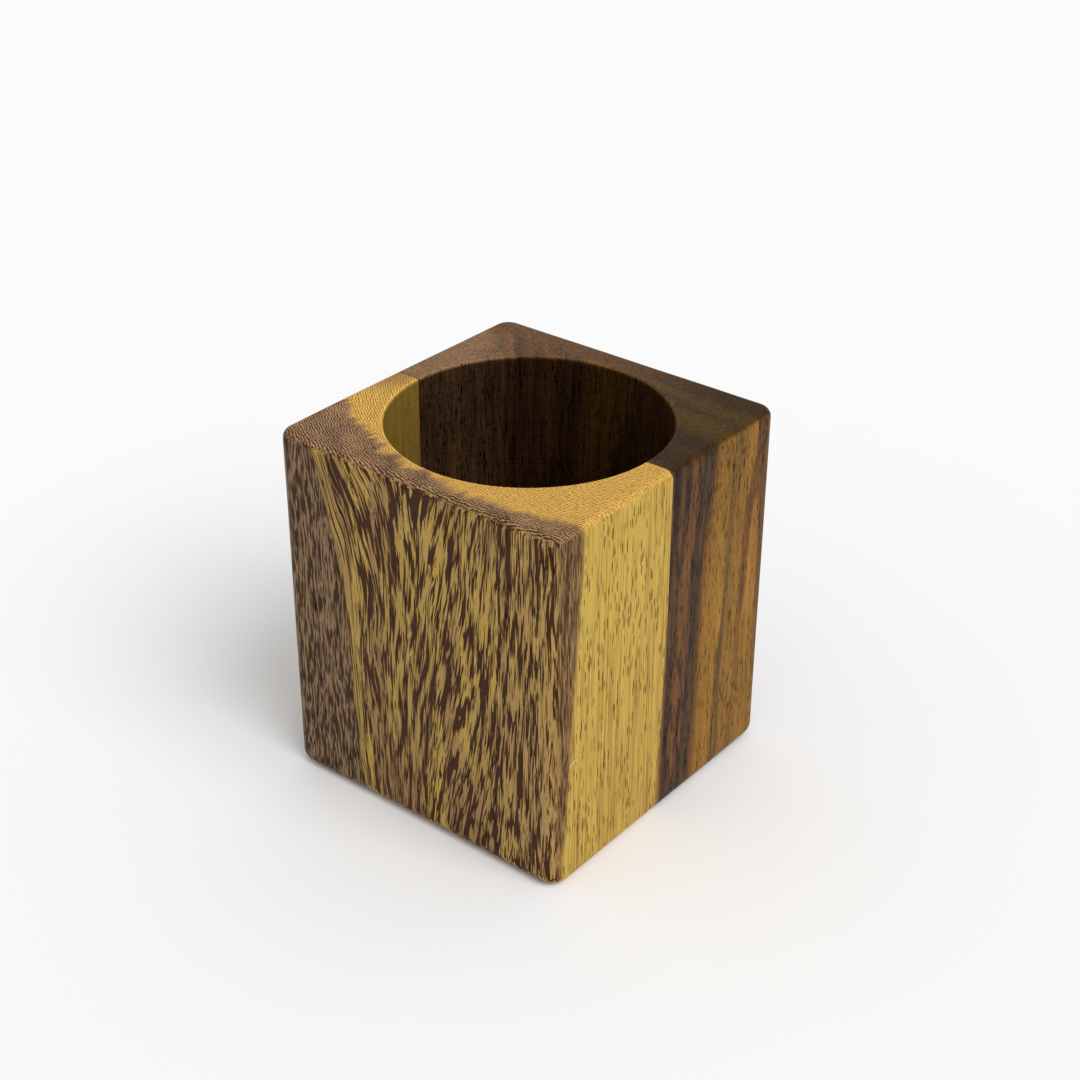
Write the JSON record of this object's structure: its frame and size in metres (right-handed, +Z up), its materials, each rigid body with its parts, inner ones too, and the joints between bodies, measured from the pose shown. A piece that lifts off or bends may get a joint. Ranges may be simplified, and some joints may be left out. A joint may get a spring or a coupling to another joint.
{
  "type": "desk organizer",
  "caption": "Pen holder: a square block of solid wood glued up from two contrasting boards, with eased edges and one deep round bore in its top.",
  "frame": {"origin": "centre of the flat bottom face", "axes": "+Z up out of the bore's mouth; -Y out of the front board's wide face; the glue line lies parallel to the XZ plane"},
  "size_m": [0.075, 0.075, 0.084],
  "materials": {
    "front_wood": "yellow heartwood with a purple-brown streaked skin, hand sanded, satin oil",
    "rear_wood": "dark brown and orange-brown heartwood, hand sanded, satin oil",
    "dried_glue": "dark thin film of cured wood glue"
  },
  "bodies": {
    "root": {"front_board": "front_wood", "rear_board": "rear_wood", "glue_line": "dried_glue"}
  },
  "joints": []
}
